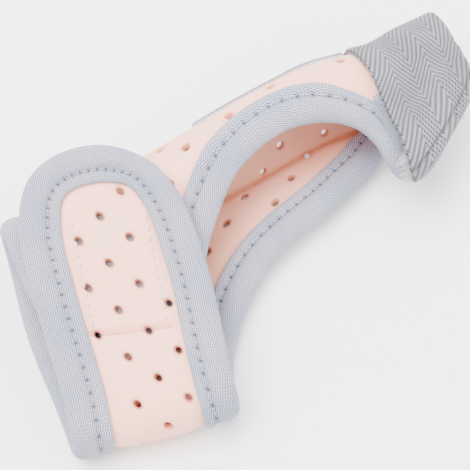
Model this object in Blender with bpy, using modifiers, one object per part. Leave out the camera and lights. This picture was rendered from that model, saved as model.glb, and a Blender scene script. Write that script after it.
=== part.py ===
"""Thumb splint: one perforated foam panel, bound with knit tape and folded over itself.

A straight fold line runs from the wrist edge to the thumb tip. Behind it the panel lies on the
table as the back of the wrist wrap and of the thumb sleeve. In front of it a flap folds down over
the hollow. At the wrist the back goes on as a strap that turns up at a heel and crosses the flap,
and at the thumb tip the flap goes on as a lobe that curls round the sleeve under an elastic strap.

Every point of the cloth has a place s along the fold line and a place t round the section: t is 0
on the outside of the fold, grows down the back and along the strap, and is below 0 on the flap.
"""
from math import asin, atan2, ceil, cos, hypot, pi, radians, sin

import bpy
import numpy as np
from mathutils import geometry

MM = 0.001

# Sizes along the fold line
SLEEVE_LENGTH = 131.0 * MM      # wrist edge to thumb tip

# Lengths of cloth, measured round the section from the fold line
STRAP_REACH = 153.5 * MM        # down the back and up the strap to the end of its tab
BACK_REACH = 40.0 * MM          # down the back of the thumb sleeve to its bound edge
FLAP_REACH = 55.0 * MM          # down the front to the flap's end, which the strap covers
LOBE_REACH = 47.0 * MM          # down the front and round the thumb to the lobe's end

# Sizes of the folded section
FOLD_RADIUS = 11.5 * MM         # bend of the fold line at the wrist
VALLEY_RADIUS = 6.0 * MM        # inner bend between the sleeve's two back walls
HEEL_RADIUS = 9.0 * MM          # bend from the back up into the strap
CURL_RADIUS = 12.0 * MM         # bend of the lobe round the thumb
WALL_LENGTH = 14.0 * MM         # straight rear wall of the thumb sleeve
WRIST_DEPTH = 49.0 * MM         # straight part of the back, valley to heel
FLAP_STRAIGHT = 40.0 * MM       # straight part of the flap at the wrist
TIP_INSET = 3.0 * MM            # how far the fold line steps in under the elastic strap
LAYER_SPACE = 7.2 * MM          # middle of the flap to the middle of the strap over it
TABLE_SHARE = 0.6               # share of STRAP_REACH that may lie on the table

# Cloth
FOAM_THICKNESS = 2.8 * MM
TAPE_THICKNESS = 0.9 * MM
TAPE_WIDTH = 10.6 * MM          # how far the binding reaches in from the edge, on each face
TAPE_TURN = 1.7 * MM            # thickness of the tape's turn at the edge
TAPE_SHOULDER = (1.3, 0.3)      # shares of that turn where its rounding starts and ends
TAPE_ROUNDING = 0.6             # share of the tape's height left where the rounding ends
FIT_GAP = 0.3 * MM              # between any two pieces that touch
TAPE_EASE = 0.4 * MM            # between the foam and the tape folded over it
STACK_GAP = 0.4 * MM            # between layers that are sewn or pressed over a bend
HOLE_DIAMETER = 2.3 * MM
HOLE_COLUMN_STEP = 6.55 * MM    # from one column of holes to the next, along the fold line
HOLE_ROW_STEP = 11.8 * MM       # from one hole to the next in its column
HOLE_COLUMN_DROP = 4.45 * MM    # how much lower down the strap each next column starts
HOLE_CLEARANCE = 1.73 * MM      # least from a hole's centre to the binding

# Small pieces
ELASTIC_WIDTH = 27.0 * MM
ELASTIC_THICKNESS = 1.4 * MM
ELASTIC_TAIL = 12.0 * MM        # the sewn start, on the back of the sleeve
ELASTIC_LONG_SIDE = 43.0 * MM   # from the fold to the free end, on the side toward the wrist
ELASTIC_SHORT_SIDE = 25.0 * MM  # the same, on the side of the tip
TIP_MARGIN = 0.5 * MM           # from the elastic's side to the thumb tip
PILE_THICKNESS = 0.9 * MM
PILE_SPAN = (0.56, 0.97)        # shares of the elastic's length that lie on the pile patch
PILE_SIDES = (-0.06, 0.90)      # sides of the pile patch, as shares of the elastic's width
HOOK_THICKNESS = 1.0 * MM
HOOK_LENGTH = 31.5 * MM         # hook patch under the tab, along the strap
HOOK_WIDTH = 17.0 * MM
HOOK_PLACE = 21.6 * MM          # place of the patch's first side along the fold line
HOOK_INSET = 3.0 * MM           # from the patch's end to the binding of the tab
HOOK_SPAN = (0.83, 0.99)        # shares of the elastic's length that its own hook tape lines
HOOK_SIDES = (0.03, 0.97)       # sides of that hook tape, as shares of the elastic's width
STEP_START = (0.12, 0.08)       # how far before the pile and the hook tape the elastic rises
STEP_END = 0.01                 # how far before them it has risen, as shares of its length
BACK_STRIP_TOP = -3.0 * MM      # place of the strip's upper side round the section
BACK_STRIP_WIDTH = 17.0 * MM
BACK_STRIP_START = (57.6 * MM, 65.5 * MM)  # places of its two corners toward the wrist
BACK_STRIP_THICKNESS = 1.2 * MM

# Fineness of the meshes
TURN_STEP = radians(21.0)       # most that a facet turns from its neighbour
EDGE_STEP = 8.0 * MM            # longest facet along the bound edge
BEND_STEP = 6.0 * MM            # between rows of facets across a bend
HOLE_SIDES = 7
ROOM_TRIALS = 10                # steps in which the tape is narrowed where the cloth is narrow
ROOM_STEP = 0.93                # share of the tape's width that is left by each of those steps
ROOM_NEAR = 0.86                # least share of its width that the tape keeps to any other edge
ROOM_ONWARD = 0.2               # least share of an edge step that the tape's inner side goes on
CURVE_SAMPLES = 24              # on each stretch of the outline
BLEND_SAMPLES = 13              # of the sections that ease into one another
SURFACE_MARGIN = 8.0 * MM       # how far the surface goes on past the cloth
BEND_CLEARANCE = 1.2 * MM       # least from a facet's point on a bend to the binding
SMOOTH_ANGLE = radians(40.0)    # sharpest turn that is still shaded smooth
SLICE_STEP = 2.0 * MM           # between the sections that the surface is read from
FINE_STEP = 0.5 * MM            # along each of those sections
BLEND_REACH = 9.0 * MM          # over which one section eases into the next

HALF_FOAM = FOAM_THICKNESS / 2
TAPE_INSIDE = HALF_FOAM + TAPE_EASE
TAPE_OUTSIDE = TAPE_INSIDE + TAPE_THICKNESS
TAPE_MIDDLE = TAPE_WIDTH * 0.55
REST_HEIGHT = TAPE_OUTSIDE      # of the cloth's middle above the table

# Sections of the folded cloth. Headings are degrees in the section's plane, lean is the degrees
# that the plane leans from square to the fold line, and lengths and radii are shares of the sizes
# above: place of SLEEVE_LENGTH, inset of TIP_INSET, fold of FOLD_RADIUS, flap of FLAP_STRAIGHT,
# curl of CURL_RADIUS, wall of WALL_LENGTH, valley of VALLEY_RADIUS, floor of WRIST_DEPTH and heel
# of HEEL_RADIUS.
SECTION_COLUMNS = (
    "place", "lean", "inset", "fold", "flap_heading", "flap", "curl", "curl_heading",
    "wall_heading", "wall", "valley", "floor_heading", "floor", "heel")
SECTIONS = (
    (0.00, 17, 0.0, 1.00, 20, 1.00, 2.50, 20, -172, 0.07, 1.00, -180, 0.78, 0.78),
    (0.21, 17, 0.0, 1.00, 20, 1.00, 2.50, 20, -165, 0.21, 1.00, -180, 0.95, 0.78),
    (0.38, 17, 0.0, 0.96, 20, 0.65, 2.50, 30, -150, 0.57, 1.00, -182, 1.00, 0.89),
    (0.55, 10, 0.0, 0.87, 20, 0.40, 2.08, 45, -132, 0.93, 0.80, -196, 0.82, 1.00),
    (0.74, 4, 0.0, 0.87, 16, 0.33, 1.25, 80, -125, 1.00, 0.75, -202, 0.61, 1.00),
    (0.81, 9, 1.3, 0.80, 14, 0.41, 1.00, 180, -125, 0.93, 0.75, -202, 0.61, 1.00),
    (1.00, 9, 0.8, 0.72, 10, 0.10, 0.72, 200, -125, 0.40, 1.40, -180, 0.51, 1.00),
)

# The panel's outline, as the points that a smooth closed curve passes through: a share of
# SLEEVE_LENGTH, then a share of the reach named for that stretch.
STRAP_EDGE = (
    (0.000, 0.000), (0.008, 0.182), (0.053, 0.391), (0.069, 0.521), (0.050, 0.723),
    (0.050, 0.827), (0.088, 0.917), (0.163, 0.976), (0.252, 1.000), (0.328, 0.979),
    (0.373, 0.908), (0.393, 0.782), (0.393, 0.586), (0.408, 0.423))
BACK_EDGE = (
    (0.496, 1.225), (0.656, 1.087), (0.756, 0.950), (0.824, 0.787), (0.901, 0.625),
    (0.962, 0.425), (0.996, 0.150))
LOBE_EDGE = (
    (1.000, -0.213), (0.996, -0.468), (0.969, -0.702), (0.908, -0.894), (0.840, -1.000),
    (0.786, -0.968), (0.763, -0.851), (0.752, -0.723), (0.725, -0.606))
FLAP_EDGE = (
    (0.611, -0.396), (0.496, -0.455), (0.420, -0.664), (0.359, -0.909), (0.244, -1.000),
    (0.145, -0.955), (0.076, -0.782), (0.038, -0.509), (0.011, -0.200))

# Columns of holes are counted from this hole, a share of SLEEVE_LENGTH and of STRAP_REACH
FIRST_HOLE = (0.210, 0.798)

COLOURS = {
    "peach": ((0.94, 0.69, 0.57, 1.0), 0.9),
    "lilac_grey": ((0.52, 0.52, 0.60, 1.0), 0.85),
    "grey": ((0.45, 0.45, 0.49, 1.0), 0.85),
    "pale_grey": ((0.70, 0.70, 0.74, 1.0), 0.95),
}


def arc_end(start, heading, next_heading, radius):
    """End of an arc that turns clockwise from one heading to another."""
    centre = arc_centre(start, heading, radius)
    return centre - radius * np.array((sin(next_heading), -cos(next_heading)))


def arc_centre(start, heading, radius):
    """Centre of a clockwise arc."""
    return start + radius * np.array((sin(heading), -cos(heading)))


def section_sizes(place):
    """The section at a place along the fold line, in metres and radians."""
    table = np.array(SECTIONS)
    reach = np.linspace(-BLEND_REACH, BLEND_REACH, BLEND_SAMPLES)
    spots = (place + reach) / SLEEVE_LENGTH
    row = {name: float(np.mean(np.interp(spots, table[:, 0], table[:, column])))
           for column, name in enumerate(SECTION_COLUMNS)}
    lengths = {
        "inset": TIP_INSET, "fold": FOLD_RADIUS, "flap": FLAP_STRAIGHT, "curl": CURL_RADIUS,
        "wall": WALL_LENGTH, "valley": VALLEY_RADIUS, "floor": WRIST_DEPTH, "heel": HEEL_RADIUS}
    for name, size in lengths.items():
        row[name] *= size
    for name in ("lean", "flap_heading", "curl_heading", "wall_heading", "floor_heading"):
        row[name] = radians(row[name])
    return row


def strap_heading(row):
    """Heading of the strap, tangent to the heel and clear of the fold."""
    fold_centre = arc_centre(np.zeros(2), -pi / 2, row["fold"])
    spot = arc_end(np.zeros(2), -pi / 2, row["wall_heading"], row["fold"])
    spot = spot + row["wall"] * np.array((cos(row["wall_heading"]), sin(row["wall_heading"])))
    spot = arc_end(spot, row["wall_heading"], row["floor_heading"], row["valley"])
    spot = spot + row["floor"] * np.array((cos(row["floor_heading"]), sin(row["floor_heading"])))
    across = fold_centre - arc_centre(spot, row["floor_heading"], row["heel"])
    rise = row["fold"] + LAYER_SPACE - row["heel"]
    return -2 * pi + atan2(across[1], across[0]) + asin(rise / hypot(*across))


def headings(row, t):
    """Heading of the section at each t."""
    half_turn = -pi / 2
    strap = strap_heading(row)
    back_runs = (
        row["fold"] * (half_turn - row["wall_heading"]), row["wall"],
        row["valley"] * (row["wall_heading"] - row["floor_heading"]), row["floor"],
        row["heel"] * (row["floor_heading"] - strap))
    back_headings = (half_turn, row["wall_heading"], row["wall_heading"],
                     row["floor_heading"], row["floor_heading"], strap)
    front_runs = (
        row["fold"] * (row["flap_heading"] - half_turn), row["flap"],
        row["curl"] * (row["curl_heading"] - row["flap_heading"]))
    front_headings = (half_turn, row["flap_heading"], row["flap_heading"], row["curl_heading"])
    back = np.interp(t, np.cumsum((0.0,) + back_runs), back_headings)
    front = np.interp(-t, np.cumsum((0.0,) + front_runs), front_headings)
    return np.where(t >= 0, back, front)


class FoldedCloth:
    """The middle surface of the folded panel, read from a grid of sections."""

    def __init__(self):
        self.s = np.arange(-SURFACE_MARGIN, SLEEVE_LENGTH + SURFACE_MARGIN, SLICE_STEP)
        front = ceil((max(FLAP_REACH, LOBE_REACH) + SURFACE_MARGIN) / FINE_STEP)
        back = ceil((STRAP_REACH + SURFACE_MARGIN) / FINE_STEP)
        self.t = np.arange(-front, back + 1) * FINE_STEP
        points = []
        turns = []
        for place in self.s:
            row = section_sizes(place)
            angle = headings(row, (self.t[1:] + self.t[:-1]) / 2)
            across = np.concatenate(([0.0], np.cumsum(np.cos(angle)))) * FINE_STEP
            height = np.concatenate(([0.0], np.cumsum(np.sin(angle)))) * FINE_STEP
            across += -across[front] - row["inset"]
            touches = (self.t >= 0) & (self.t < self.table_reach(place))
            height += REST_HEIGHT - height[touches].min()
            x = place + across * sin(row["lean"])
            points.append(np.stack((x, across * cos(row["lean"]), height), axis=-1))
            turns.append(headings(row, self.t))
        self.points = np.array(points)
        self.turns = np.array(turns)
        along = np.gradient(self.points, self.s, axis=0)
        around = np.gradient(self.points, self.t, axis=1)
        normals = np.cross(along, around)
        self.normals = normals / np.linalg.norm(normals, axis=-1, keepdims=True)
        self.along = along
        self.around = around

    @staticmethod
    def table_reach(place):
        """How far round the section the cloth may touch the table."""
        strap_side = STRAP_EDGE[9][0] * SLEEVE_LENGTH
        return STRAP_REACH * TABLE_SHARE if place < strap_side else BACK_REACH

    def read(self, grid, s, t):
        """Value of one of the grids at each s and t."""
        column = np.clip((s - self.s[0]) / SLICE_STEP, 0, len(self.s) - 1.001)
        line = np.clip((t - self.t[0]) / FINE_STEP, 0, len(self.t) - 1.001)
        i = column.astype(int)
        j = line.astype(int)
        a = (column - i)[..., None]
        b = (line - j)[..., None]
        near = grid[i, j] * (1 - b) + grid[i, j + 1] * b
        far = grid[i + 1, j] * (1 - b) + grid[i + 1, j + 1] * b
        return near * (1 - a) + far * a

    def place(self, s, t, lift):
        """Point at s and t, lifted to the outside of the cloth."""
        s, t, lift = np.broadcast_arrays(
            np.asarray(s, float), np.asarray(t, float), np.asarray(lift, float))
        return self.read(self.points, s, t) + lift[..., None] * self.read(self.normals, s, t)

    def inward(self, s, t, depth):
        """Move each point of a closed loop inward over the surface by a depth."""
        step_s = (np.roll(s, -1) - np.roll(s, 1)) / 2
        step_t = (np.roll(t, -1) - np.roll(t, 1)) / 2
        along = self.read(self.along, s, t)
        around = self.read(self.around, s, t)
        tangent = along * step_s[:, None] + around * step_t[:, None]
        side = np.cross(self.read(self.normals, s, t), tangent)
        side /= np.linalg.norm(side, axis=-1, keepdims=True)
        area = np.sum(s * np.roll(t, -1) - np.roll(s, -1) * t)
        side *= np.sign(area)
        ss = np.sum(along * along, axis=-1)
        st = np.sum(along * around, axis=-1)
        tt = np.sum(around * around, axis=-1)
        side_s = np.sum(side * along, axis=-1)
        side_t = np.sum(side * around, axis=-1)
        scale = ss * tt - st * st
        move_s = (side_s * tt - side_t * st) / scale
        move_t = (side_t * ss - side_s * st) / scale
        return s + depth * move_s, t + depth * move_t


def closed_curve(points, count):
    """A smooth closed curve through the points, as many samples on each stretch."""
    points = np.array(points)
    before = np.roll(points, 1, axis=0)
    after = np.roll(points, -1, axis=0)
    beyond = np.roll(points, -2, axis=0)
    gaps = [np.sqrt(np.linalg.norm(b - a, axis=1))[:, None]
            for a, b in ((before, points), (points, after), (after, beyond))]
    slope = (points - before) / gaps[0] - (after - before) / (gaps[0] + gaps[1])
    start = (slope + (after - points) / gaps[1]) * gaps[1]
    slope = (after - points) / gaps[1] - (beyond - points) / (gaps[1] + gaps[2])
    end = (slope + (beyond - after) / gaps[2]) * gaps[1]
    samples = []
    for u in np.arange(count) / count:
        samples.append((2 * u**3 - 3 * u**2 + 1) * points + (u**3 - 2 * u**2 + u) * start
                       + (3 * u**2 - 2 * u**3) * after + (u**3 - u**2) * end)
    return np.stack(samples, axis=1).reshape(-1, 2)


def panel_outline(cloth):
    """The bound edge as s and t, with facets that are short where the cloth bends."""
    reaches = ((STRAP_EDGE, STRAP_REACH), (BACK_EDGE, BACK_REACH),
               (LOBE_EDGE, LOBE_REACH), (FLAP_EDGE, FLAP_REACH))
    points = [(s * SLEEVE_LENGTH, t * reach) for edge, reach in reaches for s, t in edge]
    fine = closed_curve(points, CURVE_SAMPLES)
    fine = np.vstack((fine, fine[:1]))
    place = cloth.place(fine[:, 0], fine[:, 1], 0.0)
    steps = np.linalg.norm(np.diff(place, axis=0), axis=1)
    direction = np.diff(place, axis=0) / steps[:, None]
    bends = np.linalg.norm(direction - np.roll(direction, 1, axis=0), axis=1)
    normal = cloth.read(cloth.normals, fine[:, 0], fine[:, 1])
    turns = np.linalg.norm(np.diff(normal, axis=0), axis=1)
    cost = np.maximum(steps / EDGE_STEP, (bends + turns) / TURN_STEP)
    total = np.concatenate(([0.0], np.cumsum(cost)))
    count = ceil(total[-1])
    marks = np.arange(count) / count * total[-1]
    return np.interp(marks, total, fine[:, 0]), np.interp(marks, total, fine[:, 1])


def tape_room(cloth, outline):
    """Share of the tape's width that there is room for at each place on the edge."""
    loop = np.stack(outline, axis=-1)
    steps = np.roll(loop, -1, axis=0) - loop
    room = np.ones(len(loop))
    skew = cos(radians(SECTIONS[0][1]))
    for _ in range(ROOM_TRIALS):
        ends = np.stack(cloth.inward(*outline, TAPE_WIDTH * room), axis=-1)
        reach = np.linalg.norm(ends - loop, axis=1)
        near = np.array([clearance(loop, s, t) for s, t in ends])
        onward = np.sum((np.roll(ends, -1, axis=0) - ends) * steps, axis=1)
        turned = onward < ROOM_ONWARD * np.sum(steps * steps, axis=1)
        tight = (near < ROOM_NEAR * skew * reach) | turned | np.roll(turned, 1)
        room = np.where(tight, room * ROOM_STEP, room)
    lowest = np.min([np.roll(room, shift) for shift in (-1, 0, 1)], axis=0)
    return np.mean([np.roll(lowest, shift) for shift in (-1, 0, 1)], axis=0)


def hole_centres(inner_s, inner_t):
    """Centres of the holes, in staggered columns over the panel inside the binding."""
    centres = []
    loop = np.stack((inner_s, inner_t), axis=-1)
    columns = ceil(SLEEVE_LENGTH / HOLE_COLUMN_STEP)
    rows = ceil((STRAP_REACH + LOBE_REACH) / HOLE_ROW_STEP)
    for column in range(-columns, columns + 1):
        s = FIRST_HOLE[0] * SLEEVE_LENGTH + column * HOLE_COLUMN_STEP
        first = FIRST_HOLE[1] * STRAP_REACH - column * HOLE_COLUMN_DROP
        first += HOLE_ROW_STEP * round(column * HOLE_COLUMN_DROP / HOLE_ROW_STEP)
        for row in range(-rows, rows + 1):
            t = first + row * HOLE_ROW_STEP
            if inside(loop, s, t) and clearance(loop, s, t) > HOLE_CLEARANCE:
                centres.append((s, t))
    return centres


def inside(loop, s, t):
    """Whether a point lies inside a closed loop."""
    following = np.roll(loop, -1, axis=0)
    crosses = (loop[:, 1] > t) != (following[:, 1] > t)
    rise = following[:, 1] - loop[:, 1]
    rise = np.where(rise == 0, 1e-12, rise)
    where = loop[:, 0] + (t - loop[:, 1]) * (following[:, 0] - loop[:, 0]) / rise
    return bool(np.count_nonzero(crosses & (s < where)) % 2)


def clearance(loop, s, t):
    """Distance from a point to the nearest side of a closed loop."""
    spot = np.array((s, t))
    side = np.roll(loop, -1, axis=0) - loop
    share = np.sum((spot - loop) * side, axis=1) / np.sum(side * side, axis=1)
    nearest = loop + np.clip(share, 0, 1)[:, None] * side
    return float(np.min(np.linalg.norm(nearest - spot, axis=1)))


def bend_points(cloth, inner, holes):
    """Points on the bends of the panel, a facet's turn apart, clear of the holes."""
    points = []
    rows = np.arange(0, len(cloth.s), round(BEND_STEP / SLICE_STEP))
    for row in rows:
        turned = np.cumsum(np.abs(np.gradient(cloth.turns[row])))
        marks = np.interp(np.arange(0, turned[-1], TURN_STEP), turned, cloth.t)
        for t in marks:
            s = cloth.s[row]
            far = all(hypot(s - a, t - b) > HOLE_DIAMETER for a, b in holes)
            if far and inside(inner, s, t) and clearance(inner, s, t) > BEND_CLEARANCE:
                points.append((s, t))
    return points


def new_collection(name):
    """A collection in the scene."""
    collection = bpy.data.collections.new(name)
    bpy.context.scene.collection.children.link(collection)
    return collection


def material(name):
    """A plain material in one of the part's colours."""
    made = bpy.data.materials.new(name)
    made.use_nodes = True
    shader = made.node_tree.nodes["Principled BSDF"]
    colour, roughness = COLOURS[name]
    shader.inputs["Base Color"].default_value = colour
    shader.inputs["Roughness"].default_value = roughness
    shader.inputs["Metallic"].default_value = 0.0
    return made


def add_object(name, points, faces, finish, collection):
    """A mesh object, shaded smooth."""
    mesh = bpy.data.meshes.new(name)
    mesh.from_pydata([tuple(point) for point in points], [], faces)
    mesh.validate()
    mesh.shade_smooth()
    mesh.set_sharp_from_angle(angle=SMOOTH_ANGLE)
    mesh.materials.append(finish)
    made = bpy.data.objects.new(name, mesh)
    collection.objects.link(made)
    return made


def thicken(made, thickness):
    """Give an open surface its thickness, half on each side."""
    solid = made.modifiers.new("thickness", "SOLIDIFY")
    solid.thickness = thickness
    solid.offset = 0.0


def strip_triangles(count, outer, inner):
    """Triangles of the closed strip between two rings of points, split as the binding is."""
    faces = []
    for i in range(count):
        following = (i + 1) % count
        faces.append((outer + i, outer + following, inner + i))
        faces.append((outer + following, inner + following, inner + i))
    return faces


def build_foam(cloth, outline, room, collection, finish):
    """The perforated foam panel inside its binding."""
    depths = (TAPE_TURN + FIT_GAP, TAPE_MIDDLE * room, TAPE_WIDTH * room)
    rings = [np.stack(cloth.inward(*outline, depth), axis=-1) for depth in depths]
    count = len(rings[0])
    inner = rings[-1]
    holes = hole_centres(inner[:, 0], inner[:, 1])
    spots = [tuple(point) for point in inner]
    links = [(i, (i + 1) % count) for i in range(count)]
    for s, t in holes:
        start = len(spots)
        for side in range(HOLE_SIDES):
            angle = 2 * pi * side / HOLE_SIDES
            spots.append((s + HOLE_DIAMETER / 2 * cos(angle), t + HOLE_DIAMETER / 2 * sin(angle)))
            links.append((start + side, start + (side + 1) % HOLE_SIDES))
    spots += bend_points(cloth, inner, holes)
    flat, _, triangles, *_ = geometry.delaunay_2d_cdt(spots, links, [], 0, 1e-7)
    flat = np.array([tuple(point) for point in flat])
    hole_spots = np.array(holes)
    faces = []
    for triangle in triangles:
        s, t = flat[list(triangle)].mean(axis=0)
        beside = np.hypot(hole_spots[:, 0] - s, hole_spots[:, 1] - t).min()
        if beside > HOLE_DIAMETER / 2 * cos(pi / HOLE_SIDES) and inside(inner, s, t):
            faces.append(tuple(triangle))
    clockwise = np.sum(inner[:, 0] * np.roll(inner[:, 1], -1)
                       - np.roll(inner[:, 0], -1) * inner[:, 1]) < 0
    total = len(flat)
    strips = strip_triangles(count, total, 0)
    strips += strip_triangles(count, total + count, total)
    if clockwise:
        strips = [triangle[::-1] for triangle in strips]
    flat = np.vstack((flat, rings[1], rings[0]))
    points = cloth.place(flat[:, 0], flat[:, 1], 0.0)
    made = add_object("foam_panel", points, faces + strips, finish, collection)
    thicken(made, FOAM_THICKNESS)
    return made


def build_binding(cloth, outline, room, collection, finish):
    """The knit tape folded over the whole edge, as one closed loop of a U section."""
    start, end = TAPE_SHOULDER
    outer = [(TAPE_WIDTH, TAPE_OUTSIDE), (TAPE_MIDDLE, TAPE_OUTSIDE),
             (TAPE_TURN * start, TAPE_OUTSIDE), (TAPE_TURN * end, TAPE_OUTSIDE * TAPE_ROUNDING)]
    outer += [(0.0, 0.0)] + [(depth, -lift) for depth, lift in reversed(outer)]
    slot = [(TAPE_WIDTH, -TAPE_INSIDE), (TAPE_MIDDLE, -TAPE_INSIDE), (TAPE_TURN, -TAPE_INSIDE)]
    slot += [(depth, -lift) for depth, lift in reversed(slot)]
    section = outer + slot
    rings = []
    for depth, lift in section:
        share = room if depth >= TAPE_MIDDLE else 1.0
        s, t = cloth.inward(*outline, depth * share)
        rings.append(cloth.place(s, t, lift))
    points = np.stack(rings, axis=1)
    count = len(outline[0])
    size = len(section)
    faces = []
    for i in range(count):
        for j in range(size):
            following = (j + 1) % size
            a = i * size + j
            b = i * size + following
            c = ((i + 1) % count) * size + following
            d = ((i + 1) % count) * size + j
            if section[j][0] > section[following][0]:
                faces += [(a, d, c), (a, c, b)]
            else:
                faces += [(a, d, b), (d, c, b)]
    return add_object("edge_binding", points.reshape(-1, 3), faces, finish, collection)


def build_sheet(cloth, name, corners, lifts, thickness, cells, finish, collection):
    """A four-cornered piece of tape or webbing that follows the cloth.

    The corners run round the piece, and lifts holds a height over the cloth's middle for each
    share of the way from its first two corners to its last two.
    """
    across, along = cells
    u = np.linspace(0, 1, across + 1)[:, None]
    v = np.linspace(0, 1, along + 1)[None, :]
    near_start, far_start, far_end, near_end = corners
    spots = [(1 - u) * ((1 - v) * near_start[k] + v * near_end[k])
             + u * ((1 - v) * far_start[k] + v * far_end[k]) for k in (0, 1)]
    lift = np.interp(v + 0 * u, *zip(*lifts))
    points = cloth.place(spots[0], spots[1], lift)
    faces = []
    for i in range(across):
        for j in range(along):
            a = i * (along + 1) + j
            faces.append((a, a + along + 1, a + along + 2, a + 1))
    made = add_object(name, points.reshape(-1, 3), faces, finish, collection)
    thicken(made, thickness)
    return made


def elastic_spot(u, v):
    """Place s, t under the elastic: u from its wrist side to the tip, v from tail to free end."""
    side = ELASTIC_LONG_SIDE * (1 - u) + ELASTIC_SHORT_SIDE * u
    s = SLEEVE_LENGTH - TIP_MARGIN - ELASTIC_WIDTH * (1 - u)
    return s, ELASTIC_TAIL - v * (ELASTIC_TAIL + side)


def elastic_corners(left, right, top, end):
    """Corners of a piece that lies between two shares across and two along the elastic."""
    return (elastic_spot(left, top), elastic_spot(right, top),
            elastic_spot(right, end), elastic_spot(left, end))


def level(lift):
    """Lifts of a piece that keeps one height over the cloth."""
    return ((0.0, lift), (1.0, lift))


def centre_over_table(collection):
    """Put the origin on the table, under the middle of the whole part."""
    bpy.context.view_layer.update()
    corners = np.array([tuple(corner) for made in collection.objects for corner in made.bound_box])
    low = corners.min(axis=0)
    middle = (low + corners.max(axis=0)) / 2
    for made in collection.objects:
        made.location = (-middle[0], -middle[1], -low[2])


def build():
    """Model the splint."""
    for old in list(bpy.data.objects):
        bpy.data.objects.remove(old, do_unlink=True)
    collection = new_collection("thumb_splint")
    finishes = {name: material(name) for name in COLOURS}
    cloth = FoldedCloth()
    outline = panel_outline(cloth)
    room = tape_room(cloth, outline)
    build_foam(cloth, outline, room, collection, finishes["peach"])
    build_binding(cloth, outline, room, collection, finishes["lilac_grey"])

    # Hook patch on the inside of the tab
    hook_end = STRAP_REACH - TAPE_WIDTH - HOOK_INSET
    hook_right = HOOK_PLACE + HOOK_WIDTH
    corners = ((HOOK_PLACE, hook_end - HOOK_LENGTH - HOLE_COLUMN_DROP),
               (hook_right, hook_end - HOOK_LENGTH),
               (hook_right, hook_end), (HOOK_PLACE, hook_end - HOLE_COLUMN_DROP))
    build_sheet(cloth, "hook_patch", corners, level(-(HALF_FOAM + FIT_GAP + HOOK_THICKNESS / 2)),
                HOOK_THICKNESS, (6, 8), finishes["pale_grey"], collection)

    # Pile patch on the lobe, over the binding and under the elastic strap
    under = TAPE_OUTSIDE + STACK_GAP
    build_sheet(cloth, "loop_patch", elastic_corners(*PILE_SIDES, *PILE_SPAN),
                level(under + PILE_THICKNESS / 2), PILE_THICKNESS, (4, 14),
                finishes["pale_grey"], collection)

    # Hook tape under the free end of the elastic
    over_pile = under + PILE_THICKNESS + STACK_GAP
    build_sheet(cloth, "strap_hook", elastic_corners(*HOOK_SIDES, *HOOK_SPAN),
                level(over_pile + HOOK_THICKNESS / 2), HOOK_THICKNESS, (4, 6),
                finishes["pale_grey"], collection)

    # Elastic strap over the thumb end, stepping up over the pile and the hook tape
    half = ELASTIC_THICKNESS / 2
    over_hook = over_pile + HOOK_THICKNESS + STACK_GAP
    pile = PILE_SPAN[0]
    hook = HOOK_SPAN[0]
    lifts = ((0.0, under + half), (pile - STEP_START[0], under + half),
             (pile - STEP_END, over_pile + half), (hook - STEP_START[1], over_pile + half),
             (hook - STEP_END, over_hook + half), (1.0, over_hook + half))
    build_sheet(cloth, "thumb_strap", elastic_corners(0, 1, 0, 1), lifts,
                ELASTIC_THICKNESS, (4, 26), finishes["grey"], collection)

    # Sewn-on strip along the back of the sleeve
    strip_lift = HALF_FOAM + STACK_GAP + BACK_STRIP_THICKNESS / 2
    strip_end = elastic_spot(0, 0)[0] - 2 * FIT_GAP
    strip_bottom = BACK_STRIP_TOP + BACK_STRIP_WIDTH
    corners = ((BACK_STRIP_START[0], BACK_STRIP_TOP), (strip_end, BACK_STRIP_TOP),
               (strip_end, strip_bottom), (BACK_STRIP_START[1], strip_bottom))
    build_sheet(cloth, "back_strip", corners, level(strip_lift),
                BACK_STRIP_THICKNESS, (12, 8), finishes["lilac_grey"], collection)
    centre_over_table(collection)


build()
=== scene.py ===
"""Looks of the thumb splint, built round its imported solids.

Every piece is laid on the same folded cloth as the solids: a place s along the fold line, a place
t round the section and a lift to the outside of the cloth. The sizes and the sections repeat the
source of the solids, and the grid that they are read from is finer.
"""
from math import asin, atan2, ceil, cos, hypot, pi, radians, sin

import bpy
import numpy as np
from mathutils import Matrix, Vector, geometry


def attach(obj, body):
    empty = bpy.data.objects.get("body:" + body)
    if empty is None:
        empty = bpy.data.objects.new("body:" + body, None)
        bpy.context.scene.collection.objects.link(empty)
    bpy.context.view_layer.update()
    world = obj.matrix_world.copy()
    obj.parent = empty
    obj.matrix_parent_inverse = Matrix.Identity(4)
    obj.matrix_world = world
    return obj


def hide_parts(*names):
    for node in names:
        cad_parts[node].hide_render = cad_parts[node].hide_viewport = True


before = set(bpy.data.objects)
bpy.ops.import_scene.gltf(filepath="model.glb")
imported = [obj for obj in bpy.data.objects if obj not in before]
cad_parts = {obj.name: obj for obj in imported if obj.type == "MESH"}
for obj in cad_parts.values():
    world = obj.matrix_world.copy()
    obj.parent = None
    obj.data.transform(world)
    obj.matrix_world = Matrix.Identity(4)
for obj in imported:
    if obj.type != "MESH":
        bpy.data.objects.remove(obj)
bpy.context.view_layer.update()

MM = 0.001

# Camera of the photograph
VIEW_AZIMUTH = radians(-29.8)
VIEW_ELEVATION = radians(65.0)
VIEW_DISTANCE = 0.380
VIEW_TARGET = (0.0013, 0.0059, 0.014)
LENS = 110.7
LENS_SHIFT = (-0.0574, -0.034)

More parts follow.
